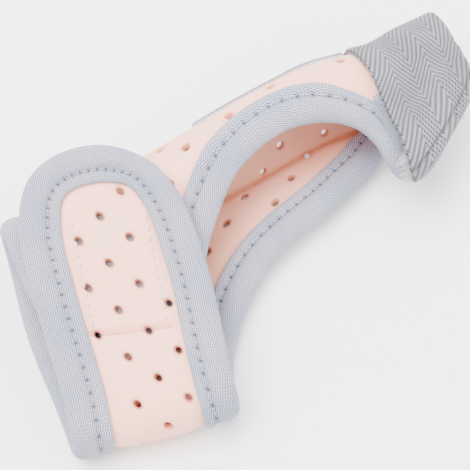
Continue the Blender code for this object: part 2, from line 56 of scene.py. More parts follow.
# Sizes of the folded cloth, as in the solids
SLEEVE_LENGTH = 131.0 * MM
STRAP_REACH = 153.5 * MM
BACK_REACH = 40.0 * MM
FLAP_REACH = 55.0 * MM
LOBE_REACH = 47.0 * MM
FOLD_RADIUS = 11.5 * MM
VALLEY_RADIUS = 6.0 * MM
HEEL_RADIUS = 9.0 * MM
CURL_RADIUS = 12.0 * MM
WALL_LENGTH = 14.0 * MM
WRIST_DEPTH = 49.0 * MM
FLAP_STRAIGHT = 40.0 * MM
TIP_INSET = 3.0 * MM
LAYER_SPACE = 7.2 * MM
HALF_FOAM = 1.4 * MM
TAPE_INSIDE = 1.8 * MM
TAPE_OUTSIDE = 2.7 * MM
TAPE_WIDTH = 10.6 * MM
REST_HEIGHT = TAPE_OUTSIDE
HOLE_DIAMETER = 2.3 * MM
HOLE_COLUMN_STEP = 6.55 * MM
HOLE_ROW_STEP = 11.8 * MM
HOLE_COLUMN_DROP = 4.45 * MM
FIRST_HOLE = (0.210 * SLEEVE_LENGTH, 0.798 * STRAP_REACH)
CENTRE = np.array((-60.715, 33.888, 0.0)) * MM

ELASTIC_WIDTH = 27.0 * MM
ELASTIC_TAIL = 12.0 * MM
ELASTIC_LONG_SIDE = 43.0 * MM
ELASTIC_SHORT_SIDE = 25.0 * MM
ELASTIC_HALF = 0.7 * MM
TIP_MARGIN = 0.5 * MM
STACK_GAP = 0.4 * MM
PILE_THICKNESS = 0.9 * MM
HOOK_THICKNESS = 1.0 * MM
PILE_SPAN = (0.56, 0.97)
HOOK_SPAN = (0.83, 0.99)

SLICE_STEP = 1.0 * MM
FINE_STEP = 0.25 * MM
BLEND_REACH = 9.0 * MM

SECTION_COLUMNS = (
    "place", "lean", "inset", "fold", "flap_heading", "flap", "curl", "curl_heading",
    "wall_heading", "wall", "valley", "floor_heading", "floor", "heel")
SECTIONS = (
    (0.00, 17, 0.0, 1.00, 20, 1.00, 2.50, 20, -172, 0.07, 1.00, -180, 0.78, 0.78),
    (0.21, 17, 0.0, 1.00, 20, 1.00, 2.50, 20, -165, 0.21, 1.00, -180, 0.95, 0.78),
    (0.38, 17, 0.0, 0.96, 20, 0.65, 2.50, 30, -150, 0.57, 1.00, -182, 1.00, 0.89),
    (0.55, 10, 0.0, 0.87, 20, 0.40, 2.08, 45, -132, 0.93, 0.80, -196, 0.82, 1.00),
    (0.74, 4, 0.0, 0.87, 16, 0.33, 1.25, 80, -125, 1.00, 0.75, -202, 0.61, 1.00),
    (0.81, 9, 1.3, 0.80, 14, 0.41, 1.00, 180, -125, 0.93, 0.75, -202, 0.61, 1.00),
    (1.00, 9, 0.8, 0.72, 10, 0.10, 0.72, 200, -125, 0.40, 1.40, -180, 0.51, 1.00),
)

STRAP_EDGE = (
    (0.000, 0.000), (0.008, 0.182), (0.053, 0.391), (0.069, 0.521), (0.050, 0.723),
    (0.050, 0.827), (0.088, 0.917), (0.163, 0.976), (0.252, 1.000), (0.328, 0.979),
    (0.373, 0.908), (0.393, 0.782), (0.393, 0.586), (0.408, 0.423))
BACK_EDGE = (
    (0.496, 1.225), (0.656, 1.087), (0.756, 0.950), (0.824, 0.787), (0.901, 0.625),
    (0.962, 0.425), (0.996, 0.150))
LOBE_EDGE = (
    (1.000, -0.213), (0.996, -0.468), (0.969, -0.702), (0.908, -0.894), (0.840, -1.000),
    (0.786, -0.968), (0.763, -0.851), (0.752, -0.723), (0.725, -0.606))
FLAP_EDGE = (
    (0.611, -0.396), (0.496, -0.455), (0.420, -0.664), (0.359, -0.909), (0.244, -1.000),
    (0.145, -0.955), (0.076, -0.782), (0.038, -0.509), (0.011, -0.200))

# Binding: depth in from the edge and lift, in millimetres, from the edge's nose to the inner hem
TAPE_PROFILE = (
    (0.00, 0.00), (0.05, 0.65), (0.25, 1.30), (0.65, 1.95), (1.25, 2.50), (2.00, 2.85),
    (3.00, 3.05), (4.00, 3.05), (5.00, 2.90), (5.80, 2.65), (6.40, 2.35), (6.80, 2.12),
    (7.10, 2.05), (7.40, 2.12), (7.80, 2.35), (8.40, 2.50), (9.20, 2.50), (9.90, 2.38),
    (10.35, 2.15), (10.55, 1.85), (10.60, 1.45))
TAPE_LINING = ((9.80, 1.30), (4.00, 1.75))
SEAM_DEPTH = 7.10 * MM
SEAM_LIFT = 2.15 * MM
EDGE_SPACING = 0.8 * MM
EASE_REACH = 9.0 * MM
STITCH_SHARE = 0.75
STITCH_RADIUS = 0.20 * MM

# Fine patterns, in millimetres
KNIT_WAVE = 1.3
WAVES_REPEAT = 12
STITCHES_REPEAT = 5
KNIT_ROW = 0.60
KNIT_SWING = 0.42
RIB_BAND = 5.4
RIB_PITCH = 1.65
FOAM_SPACING = 1.15 * MM
HOLE_RINGS = ((1.15, 0.42), (1.35, 0.16), (1.75, 0.03))
HOLE_SIDES = 18


def arc_centre(start, heading, radius):
    """Centre of a clockwise arc."""
    return start + radius * np.array((sin(heading), -cos(heading)))


def arc_end(start, heading, next_heading, radius):
    """End of an arc that turns clockwise from one heading to another."""
    centre = arc_centre(start, heading, radius)
    return centre - radius * np.array((sin(next_heading), -cos(next_heading)))


def section_sizes(place):
    """The section at a place along the fold line, in metres and radians."""
    table = np.array(SECTIONS)
    spots = (place + np.linspace(-BLEND_REACH, BLEND_REACH, 13)) / SLEEVE_LENGTH
    row = {name: float(np.mean(np.interp(spots, table[:, 0], table[:, column])))
           for column, name in enumerate(SECTION_COLUMNS)}
    lengths = {
        "inset": TIP_INSET, "fold": FOLD_RADIUS, "flap": FLAP_STRAIGHT, "curl": CURL_RADIUS,
        "wall": WALL_LENGTH, "valley": VALLEY_RADIUS, "floor": WRIST_DEPTH, "heel": HEEL_RADIUS}
    for name, size in lengths.items():
        row[name] *= size
    for name in ("lean", "flap_heading", "curl_heading", "wall_heading", "floor_heading"):
        row[name] = radians(row[name])
    return row


def strap_heading(row):
    """Heading of the strap, tangent to the heel and clear of the fold."""
    fold_centre = arc_centre(np.zeros(2), -pi / 2, row["fold"])
    spot = arc_end(np.zeros(2), -pi / 2, row["wall_heading"], row["fold"])
    spot = spot + row["wall"] * np.array((cos(row["wall_heading"]), sin(row["wall_heading"])))
    spot = arc_end(spot, row["wall_heading"], row["floor_heading"], row["valley"])
    spot = spot + row["floor"] * np.array((cos(row["floor_heading"]), sin(row["floor_heading"])))
    across = fold_centre - arc_centre(spot, row["floor_heading"], row["heel"])
    rise = row["fold"] + LAYER_SPACE - row["heel"]
    return -2 * pi + atan2(across[1], across[0]) + asin(rise / hypot(*across))


def headings(row, t):
    """Heading of the section at each t."""
    quarter = -pi / 2
    strap = strap_heading(row)
    back_runs = (
        row["fold"] * (quarter - row["wall_heading"]), row["wall"],
        row["valley"] * (row["wall_heading"] - row["floor_heading"]), row["floor"],
        row["heel"] * (row["floor_heading"] - strap))
    back_headings = (quarter, row["wall_heading"], row["wall_heading"],
                     row["floor_heading"], row["floor_heading"], strap)
    front_runs = (
        row["fold"] * (row["flap_heading"] - quarter), row["flap"],
        row["curl"] * (row["curl_heading"] - row["flap_heading"]))
    front_headings = (quarter, row["flap_heading"], row["flap_heading"], row["curl_heading"])
    back = np.interp(t, np.cumsum((0.0,) + back_runs), back_headings)
    front = np.interp(-t, np.cumsum((0.0,) + front_runs), front_headings)
    return np.where(t >= 0, back, front)


def valley_place(s):
    """Place t of the crease between the sleeve's two back walls."""
    row = section_sizes(s)
    bend = row["valley"] * (row["wall_heading"] - row["floor_heading"])
    return row["fold"] * (-pi / 2 - row["wall_heading"]) + row["wall"] + bend / 2


class FoldedCloth:
    """The middle surface of the folded panel, read from a grid of sections."""

    def __init__(self):
        margin = 8 * MM
        self.s = np.arange(-margin, SLEEVE_LENGTH + margin, SLICE_STEP)
        front = ceil((FLAP_REACH + margin) / FINE_STEP)
        back = ceil((STRAP_REACH + margin) / FINE_STEP)
        self.t = np.arange(-front, back + 1) * FINE_STEP
        points = []
        for place in self.s:
            row = section_sizes(place)
            angle = headings(row, (self.t[1:] + self.t[:-1]) / 2)
            across = np.concatenate(([0.0], np.cumsum(np.cos(angle)))) * FINE_STEP
            height = np.concatenate(([0.0], np.cumsum(np.sin(angle)))) * FINE_STEP
            across += -across[front] - row["inset"]
            strap_side = STRAP_EDGE[9][0] * SLEEVE_LENGTH
            reach = STRAP_REACH * 0.6 if place < strap_side else BACK_REACH
            touches = (self.t >= 0) & (self.t < reach)
            height += REST_HEIGHT - height[touches].min()
            x = place + across * sin(row["lean"])
            points.append(np.stack((x, across * cos(row["lean"]), height), axis=-1))
        self.points = np.array(points) + CENTRE
        self.along = np.gradient(self.points, self.s, axis=0)
        self.around = np.gradient(self.points, self.t, axis=1)
        normals = np.cross(self.along, self.around)
        self.normals = normals / np.linalg.norm(normals, axis=-1, keepdims=True)

    def read(self, grid, s, t):
        """Value of one of the grids at each s and t."""
        column = np.clip((s - self.s[0]) / SLICE_STEP, 0, len(self.s) - 1.001)
        line = np.clip((t - self.t[0]) / FINE_STEP, 0, len(self.t) - 1.001)
        i = column.astype(int)
        j = line.astype(int)
        a = (column - i)[..., None]
        b = (line - j)[..., None]
        near = grid[i, j] * (1 - b) + grid[i, j + 1] * b
        far = grid[i + 1, j] * (1 - b) + grid[i + 1, j + 1] * b
        return near * (1 - a) + far * a

    def place(self, s, t, lift):
        """Point at s and t, lifted to the outside of the cloth."""
        s, t, lift = np.broadcast_arrays(
            np.asarray(s, float), np.asarray(t, float), np.asarray(lift, float))
        return self.read(self.points, s, t) + lift[..., None] * self.read(self.normals, s, t)

    def inward(self, s, t, depth):
        """Move each point of a closed loop inward over the surface by a depth."""
        step_s = (np.roll(s, -1) - np.roll(s, 1)) / 2
        step_t = (np.roll(t, -1) - np.roll(t, 1)) / 2
        along = self.read(self.along, s, t)
        around = self.read(self.around, s, t)
        tangent = along * step_s[:, None] + around * step_t[:, None]
        side = np.cross(self.read(self.normals, s, t), tangent)
        side /= np.linalg.norm(side, axis=-1, keepdims=True)
        side *= np.sign(np.sum(s * np.roll(t, -1) - np.roll(s, -1) * t))
        ss = np.sum(along * along, axis=-1)
        st = np.sum(along * around, axis=-1)
        tt = np.sum(around * around, axis=-1)
        side_s = np.sum(side * along, axis=-1)
        side_t = np.sum(side * around, axis=-1)
        scale = ss * tt - st * st
        move_s = (side_s * tt - side_t * st) / scale
        move_t = (side_t * ss - side_s * st) / scale
        ease = smooth(np.mean(depth), 1 * MM, 6 * MM)
        spacing = np.mean(np.linalg.norm(tangent, axis=-1))
        move_s += ease * (eased(move_s, spacing) - move_s)
        move_t += ease * (eased(move_t, spacing) - move_t)
        return s + depth * move_s, t + depth * move_t


def eased(values, spacing):
    """Values round a loop, evened out over the width of the tape."""
    reach = round(EASE_REACH / spacing)
    for _ in range(2):
        values = np.mean([np.roll(values, shift) for shift in range(-reach, reach + 1)], axis=0)
    return values


def closed_curve(points, count):
    """A smooth closed curve through the points, as many samples on each stretch."""
    points = np.array(points)
    before = np.roll(points, 1, axis=0)
    after = np.roll(points, -1, axis=0)
    beyond = np.roll(points, -2, axis=0)
    gaps = [np.sqrt(np.linalg.norm(b - a, axis=1))[:, None]
            for a, b in ((before, points), (points, after), (after, beyond))]
    slope = (points - before) / gaps[0] - (after - before) / (gaps[0] + gaps[1])
    start = (slope + (after - points) / gaps[1]) * gaps[1]
    slope = (after - points) / gaps[1] - (beyond - points) / (gaps[1] + gaps[2])
    end = (slope + (beyond - after) / gaps[2]) * gaps[1]
    samples = []
    for u in np.arange(count) / count:
        samples.append((2 * u**3 - 3 * u**2 + 1) * points + (u**3 - 2 * u**2 + u) * start
                       + (3 * u**2 - 2 * u**3) * after + (u**3 - u**2) * end)
    return np.stack(samples, axis=1).reshape(-1, 2)


def edge_loop(cloth, spacing):
    """The bound edge as s and t, evenly spaced over the cloth."""
    reaches = ((STRAP_EDGE, STRAP_REACH), (BACK_EDGE, BACK_REACH),
               (LOBE_EDGE, LOBE_REACH), (FLAP_EDGE, FLAP_REACH))
    points = [(s * SLEEVE_LENGTH, t * reach) for edge, reach in reaches for s, t in edge]
    fine = closed_curve(points, 24)
    fine = np.vstack((fine, fine[:1]))
    place = cloth.place(fine[:, 0], fine[:, 1], 0.0)
    total = np.concatenate(([0.0], np.cumsum(np.linalg.norm(np.diff(place, axis=0), axis=1))))
    count = ceil(total[-1] / spacing)
    marks = np.arange(count) / count * total[-1]
    return np.interp(marks, total, fine[:, 0]), np.interp(marks, total, fine[:, 1]), total[-1]


def distances(loop, spots):
    """Distance from each spot to the nearest side of a closed loop."""
    side = np.roll(loop, -1, axis=0) - loop
    size = np.sum(side * side, axis=1)
    found = []
    for part in np.array_split(spots, ceil(len(spots) / 2000)):
        share = np.clip(np.sum((part[:, None] - loop) * side, axis=2) / size, 0, 1)
        gap = loop + share[..., None] * side - part[:, None]
        found.append(np.linalg.norm(gap, axis=2).min(axis=1))
    return np.concatenate(found)


def within(loop, spots):
    """Whether each spot lies inside a closed loop."""
    following = np.roll(loop, -1, axis=0)
    rise = following[:, 1] - loop[:, 1]
    rise = np.where(rise == 0, 1e-12, rise)
    found = []
    for part in np.array_split(spots, ceil(len(spots) / 2000)):
        s = part[:, 0][:, None]
        t = part[:, 1][:, None]
        crosses = (loop[:, 1] > t) != (following[:, 1] > t)
        where = loop[:, 0] + (t - loop[:, 1]) * (following[:, 0] - loop[:, 0]) / rise
        found.append(np.count_nonzero(crosses & (s < where), axis=1) % 2 == 1)
    return np.concatenate(found)


def tape_room(cloth, s, t):
    """Share of the tape's width that there is room for at each place on the edge."""
    loop = np.stack((s, t), axis=-1)
    steps = np.roll(loop, -1, axis=0) - loop
    room = np.ones(len(loop))
    skew = cos(radians(SECTIONS[0][1]))
    for _ in range(10):
        ends = np.stack(cloth.inward(s, t, TAPE_WIDTH * room), axis=-1)
        reach = np.linalg.norm(ends - loop, axis=1)
        near = distances(loop, ends)
        onward = np.sum((np.roll(ends, -1, axis=0) - ends) * steps, axis=1)
        turned = onward < 0.15 * np.sum(steps * steps, axis=1)
        tight = (near < 0.86 * skew * reach) | turned | np.roll(turned, 1)
        room = np.where(tight, room * 0.93, room)
    lowest = np.min([np.roll(room, shift) for shift in range(-4, 5)], axis=0)
    return np.mean([np.roll(lowest, shift) for shift in range(-6, 7)], axis=0)


def hole_centres(loop):
    """Centres of the holes, in staggered columns over the panel inside the binding."""
    spots = []
    columns = ceil(SLEEVE_LENGTH / HOLE_COLUMN_STEP)
    rows = ceil((STRAP_REACH + LOBE_REACH) / HOLE_ROW_STEP)
    for column in range(-columns, columns + 1):
        first = FIRST_HOLE[1] - column * HOLE_COLUMN_DROP
        first += HOLE_ROW_STEP * round(column * HOLE_COLUMN_DROP / HOLE_ROW_STEP)
        for row in range(-rows, rows + 1):
            spots.append((FIRST_HOLE[0] + column * HOLE_COLUMN_STEP, first + row * HOLE_ROW_STEP))
    spots = np.array(spots)
    return spots[within(loop, spots) & (distances(loop, spots) > HOLE_DIAMETER * 0.75)]


class Look:
    """A node material that is put together step by step."""

    def __init__(self, name, roughness, sheen=0.0):
        self.material = bpy.data.materials.new(name)
        self.material.use_nodes = True
        self.tree = self.material.node_tree
        self.shader = self.tree.nodes["Principled BSDF"]
        self.shader.inputs["Roughness"].default_value = roughness
        self.shader.inputs["Specular IOR Level"].default_value = 0.25
        self.shader.inputs["Sheen Weight"].default_value = sheen
        self.shader.inputs["Sheen Roughness"].default_value = 0.6

    def node(self, kind, settings=(), **inputs):
        """A node with its settings, and its inputs by name or number."""
        made = self.tree.nodes.new(kind)
        for key, value in dict(settings).items():
            setattr(made, key, value)
        for key, value in inputs.items():
            socket = made.inputs[int(key[1:])] if key[1:].isdigit() else made.inputs[key]
            if isinstance(value, bpy.types.NodeSocket):
                self.tree.links.new(value, socket)
            else:
                socket.default_value = value
        return made

    def math(self, operation, a, b=0.0, c=0.0):
        """The result of a Math node."""
        return self.node("ShaderNodeMath", {"operation": operation}, _0=a, _1=b, _2=c).outputs[0]

    def lay(self):
        """Millimetres along and across the cloth, and a shade, stored on the mesh."""
        source = self.node("ShaderNodeAttribute", {"attribute_name": "lay"})
        parts = self.node("ShaderNodeSeparateXYZ", Vector=source.outputs["Vector"])
        return parts.outputs

    def noise(self, scale, detail=2.0):
        """A noise from 0 to 1 over the object, with its scale in features a metre."""
        place = self.node("ShaderNodeTexCoord").outputs["Object"]
        made = self.node("ShaderNodeTexNoise", Vector=place, Scale=scale, Detail=detail)
        return made.outputs["Fac"]

    def mix(self, share, a, b):
        """One colour over another."""
        made = self.node("ShaderNodeMix", {"data_type": "RGBA"}, _0=share, _6=a, _7=b)
        return made.outputs[2]

    def spread(self, value, low, high):
        """A value brought from low..high to 0..1, smoothly."""
        made = self.node("ShaderNodeMapRange", {"interpolation_type": "SMOOTHSTEP"})
        self.tree.links.new(value, made.inputs["Value"])
        made.inputs["From Min"].default_value = low
        made.inputs["From Max"].default_value = high
        return made.outputs["Result"]

    def bump(self, height, depth, strength=1.0):
        """Bump of a depth in metres."""
        made = self.node("ShaderNodeBump", Height=height, Distance=depth, Strength=strength)
        self.tree.links.new(made.outputs["Normal"], self.shader.inputs["Normal"])

    def colour(self, source):
        """The base colour."""
        self.tree.links.new(source, self.shader.inputs["Base Color"])


def foam_look():
    """Brushed peach cloth over foam, with painted shade in its creases, round and in its holes, over its
    inner face and along the hook patch's lip.
    """
    look = Look("peach_cloth", 0.85, sheen=0.15)
    shade = look.lay()[2]
    wide = look.spread(look.noise(60.0), 0.35, 0.65)
    face = look.mix(wide, (0.96, 0.44, 0.32, 1), (0.97, 0.49, 0.37, 1))
    fine = look.noise(2600.0, 3.0)
    face = look.mix(look.spread(fine, 0.3, 0.8), face, (0.98, 0.56, 0.44, 1))
    # Painted shade: the lay's third value darkens the cloth toward a deep orange where shade falls.
    face = look.mix(shade, face, (0.50, 0.15, 0.065, 1))
    along, across, _ = look.lay()
    skew = HOLE_COLUMN_DROP / HOOK_WIDTH
    start = (HOOK_END - HOOK_LENGTH - HOLE_COLUMN_DROP - skew * HOOK_LEFT) / MM - PATCH_LIP
    over = look.math("SUBTRACT", look.math("SUBTRACT", across, start), look.math("MULTIPLY", along, skew))
    left = look.spread(along, HOOK_LEFT / MM - 2.0, HOOK_LEFT / MM)
    right = look.spread(along, (HOOK_LEFT + HOOK_WIDTH) / MM + 2.0, (HOOK_LEFT + HOOK_WIDTH) / MM)
    sides = look.math("MULTIPLY", left, right)
    lip = look.math("MULTIPLY", look.spread(over, -0.2, 0.15), sides)
    # Painted shade: a deep orange band over the hook patch's lip, sharp at the step and fading over about
    # 2.6 mm.
    lip_shade = look.math("MULTIPLY", lip, look.spread(over, 2.6, 0.1))
    face = look.mix(look.math("MULTIPLY", lip_shade, 0.42), face, (0.80, 0.27, 0.13, 1))
    look.colour(face)
    broad = look.noise(420.0, 2.0)
    soft = look.math("ADD", fine, look.math("MULTIPLY", broad, 1.5))
    look.bump(look.math("MULTIPLY_ADD", lip, 3.0, soft), 0.00012, 0.6)
    return look.material


def knit_look(name="zigzag_knit", light=(0.57, 0.55, 0.64, 1), dark=(0.085, 0.08, 0.12, 1)):
    """Knit tape, whose rows zigzag along it."""
    look = Look(name, 0.8, sheen=0.1)
    along, across, shade = look.lay()
    swing = look.math("PINGPONG", look.math("MULTIPLY", along, 2 / KNIT_WAVE), 1.0)
    row = look.math("MULTIPLY_ADD", swing, KNIT_SWING / KNIT_ROW,
                    look.math("MULTIPLY", across, 1 / KNIT_ROW))
    wave = look.math("SINE", look.math("MULTIPLY", row, 2 * pi))
    bead = look.math("SINE", look.math("MULTIPLY", along, 4 * pi / KNIT_WAVE))
    height = look.math("MULTIPLY_ADD", bead, 0.25, wave)
    crest = look.spread(height, -1.1, 0.9)
    tint = look.spread(look.noise(90.0), 0.35, 0.65)
    pale = look.mix(tint, light, (0.46, 0.49, 0.62, 1))
    colour = look.mix(crest, dark, pale)
    pitch = KNIT_WAVE * WAVES_REPEAT / STITCHES_REPEAT
    beat = look.math("COSINE", look.math("MULTIPLY", along, 2 * pi / pitch))
    # Painted shade in the seam's groove, and darker dots of painted shade at the needle holes along it.
    colour = look.mix(look.math("MULTIPLY", shade, 0.16), colour, (0.16, 0.17, 0.26, 1))
    needle_shade = look.spread(beat, -0.55, -0.95)
    colour = look.mix(look.math("MULTIPLY", needle_shade, shade), colour, (0.06, 0.065, 0.13, 1))
    look.colour(colour)
    look.bump(crest, 0.00020, 0.9)
    return look.material


def elastic_look():
    """Herringbone elastic: ribs that lean one way and the other in bands along it."""
    look = Look("herringbone_elastic", 0.75, sheen=0.1)
    across, along, shade = look.lay()
    swing = look.math("MULTIPLY", look.math("PINGPONG", across, RIB_BAND), 1.25)
    rib = look.math("MULTIPLY", look.math("ADD", along, swing), 2 * pi / RIB_PITCH)
    wave = look.math("SINE", rib)
    pick = look.math("MULTIPLY", look.math("SUBTRACT", along, swing), 2 * pi / 0.95)
    dots = look.math("SINE", pick)
    height = look.math("MULTIPLY_ADD", dots, 0.75, wave)
    crest = look.spread(height, -1.5, 0.7)
    tint = look.spread(look.noise(120.0), 0.35, 0.65)
    pale = look.mix(tint, (0.195, 0.195, 0.222, 1), (0.245, 0.245, 0.272, 1))
    colour = look.mix(crest, (0.045, 0.045, 0.055, 1), pale)
    # Painted shade along the hem's groove near the free end.
    colour = look.mix(shade, colour, (0.06, 0.06, 0.07, 1))
    look.colour(colour)
    look.bump(crest, 0.00025, 0.9)
    return look.material


def pile_look(name, low, high):
    """Fuzzy nylon, finely speckled."""
    look = Look(name, 0.9, sheen=0.3)
    fine = look.noise(3200.0, 3.0)
    look.colour(look.mix(look.spread(fine, 0.3, 0.7), low, high))
    look.bump(fine, 0.0003, 0.9)
    return look.material


def thread_look(name, colour):
    """Sewing thread, with its twist."""
    look = Look(name, 0.6, sheen=0.2)
    along, across, _ = look.lay()
    twist = look.math("SINE", look.math("MULTIPLY", look.math("ADD", along, across), 14.0))
    fine = look.spread(twist, -1.0, 1.0)
    look.colour(look.mix(fine, tuple(0.6 * c for c in colour[:3]) + (1,), colour))
    look.bump(fine, 0.00006, 0.8)
    return look.material


def add_piece(name, points, faces, look, lay=None, corner_lay=None, replaces=()):
    """A visible piece that rides with the part."""
    mesh = bpy.data.meshes.new(name)
    points = np.array(points)
    points[:, 2] = np.maximum(points[:, 2], 0.0)
    mesh.from_pydata(points.tolist(), [], [tuple(map(int, face)) for face in faces])
    mesh.update()
    if lay is not None:
        corner_lay = np.asarray(lay, float)[[v for face in faces for v in face]]
    if corner_lay is not None:
        layer = mesh.attributes.new("lay", "FLOAT_VECTOR", "CORNER")
        layer.data.foreach_set("vector", np.asarray(corner_lay, np.float32).ravel())
    mesh.shade_smooth()
    mesh.materials.append(look)
    made = bpy.data.objects.new(name, mesh)
    bpy.context.scene.collection.objects.link(made)
    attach(made, "root")
    if replaces:
        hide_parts(*replaces)
    return made


def grid_faces(rows, columns, closed=False):
    """Quads of a grid of points, row by row."""
    i = np.arange(rows if closed else rows - 1)[:, None]
    j = np.arange(columns - 1)[None, :]
    a = i * columns + j
    b = ((i + 1) % rows) * columns + j
    return np.stack((a, b, b + 1, a + 1), axis=-1).reshape(-1, 4)


def tubes(paths, radius, sides=6):
    """Round threads along paths of points with tapered ends: points, faces and lay."""
    points = []
    faces = []
    lay = []
    for path in paths:
        path = np.asarray(path)
        count = len(path)
        tangent = np.gradient(path, axis=0)
        tangent /= np.linalg.norm(tangent, axis=1, keepdims=True) + 1e-12
        seed = np.array((0.0, 0.0, 1.0)) if abs(tangent[0][2]) < 0.9 else np.array((1.0, 0.0, 0.0))
        first = np.cross(tangent, seed)
        first /= np.linalg.norm(first, axis=1, keepdims=True)
        second = np.cross(tangent, first)
        size = radius * np.sqrt(1 - np.linspace(-0.97, 0.97, count) ** 6)
        base = len(points)
        length = 0.0
        for k in range(count):
            length += 0.0 if k == 0 else np.linalg.norm(path[k] - path[k - 1]) / MM
            for side in range(sides):
                angle = 2 * pi * side / sides
                points.append(path[k] + size[k] * (cos(angle) * first[k] + sin(angle) * second[k]))
                lay.append((length, side * 0.15, 0.0))
        for k in range(count - 1):
            for side in range(sides):
                following = (side + 1) % sides
                faces.append((base + k * sides + side, base + (k + 1) * sides + side,
                              base + (k + 1) * sides + following, base + k * sides + following))
        faces.append(tuple(base + side for side in range(sides)))
        faces.append(tuple(base + (count - 1) * sides + side for side in reversed(range(sides))))
    return points, faces, lay


def smooth(value, low, high):
    """Smooth step from 0 to 1."""
    share = np.clip((value - low) / (high - low), 0, 1)
    return share * share * (3 - 2 * share)


def waves(s, t):
    """Slow unevenness of soft cloth, about 1 high and low."""
    a = np.sin(s / (9.1 * MM) + 1.3 * np.sin(t / (13.7 * MM)))
    b = np.sin(t / (7.3 * MM) + 0.9 * np.sin(s / (11.9 * MM) + 2.0))
    return 0.5 * (a + b)


HOOK_LEFT = 19.4 * MM
HOOK_WIDTH = 20.4 * MM
HOOK_LENGTH = 31.5 * MM
HOOK_END = STRAP_REACH - TAPE_WIDTH - 3.0 * MM
PATCH_LIP = 0.9


def patch_shares(s, t):
    """Place on the hook patch under the tab: shares across and along it."""
    u = (s - HOOK_LEFT) / HOOK_WIDTH
    v = (t - (HOOK_END - HOOK_LENGTH - HOLE_COLUMN_DROP * (1 - u))) / HOOK_LENGTH
    return u, v


def foam_relief(s, t, edge_gap):
    """How far the foam's outer face stands from its plain height, in metres."""
    pinch = -0.42 * MM * np.exp(-(edge_gap / (1.6 * MM)) ** 2)
    crown = 0.22 * MM * smooth(edge_gap, 1.0 * MM, 6.0 * MM)
    u, v = patch_shares(s, t)
    over = smooth(u * HOOK_WIDTH, -2.5 * MM, 1.0 * MM) * smooth((1 - u) * HOOK_WIDTH, -2.5 * MM, 1.0 * MM)
    over = over * smooth(v * HOOK_LENGTH, -0.9 * MM, 0.5 * MM) * smooth((1 - v) * HOOK_LENGTH, -2 * MM, MM)
    lip = np.exp(-((v * HOOK_LENGTH + 0.9 * MM) / (0.7 * MM)) ** 2) * smooth(u, -0.1, 0.05)
    lip = lip * smooth(1 - u, -0.1, 0.05)
    return pinch + crown + 0.13 * MM * waves(s, t) + 0.35 * MM * over - 0.38 * MM * lip


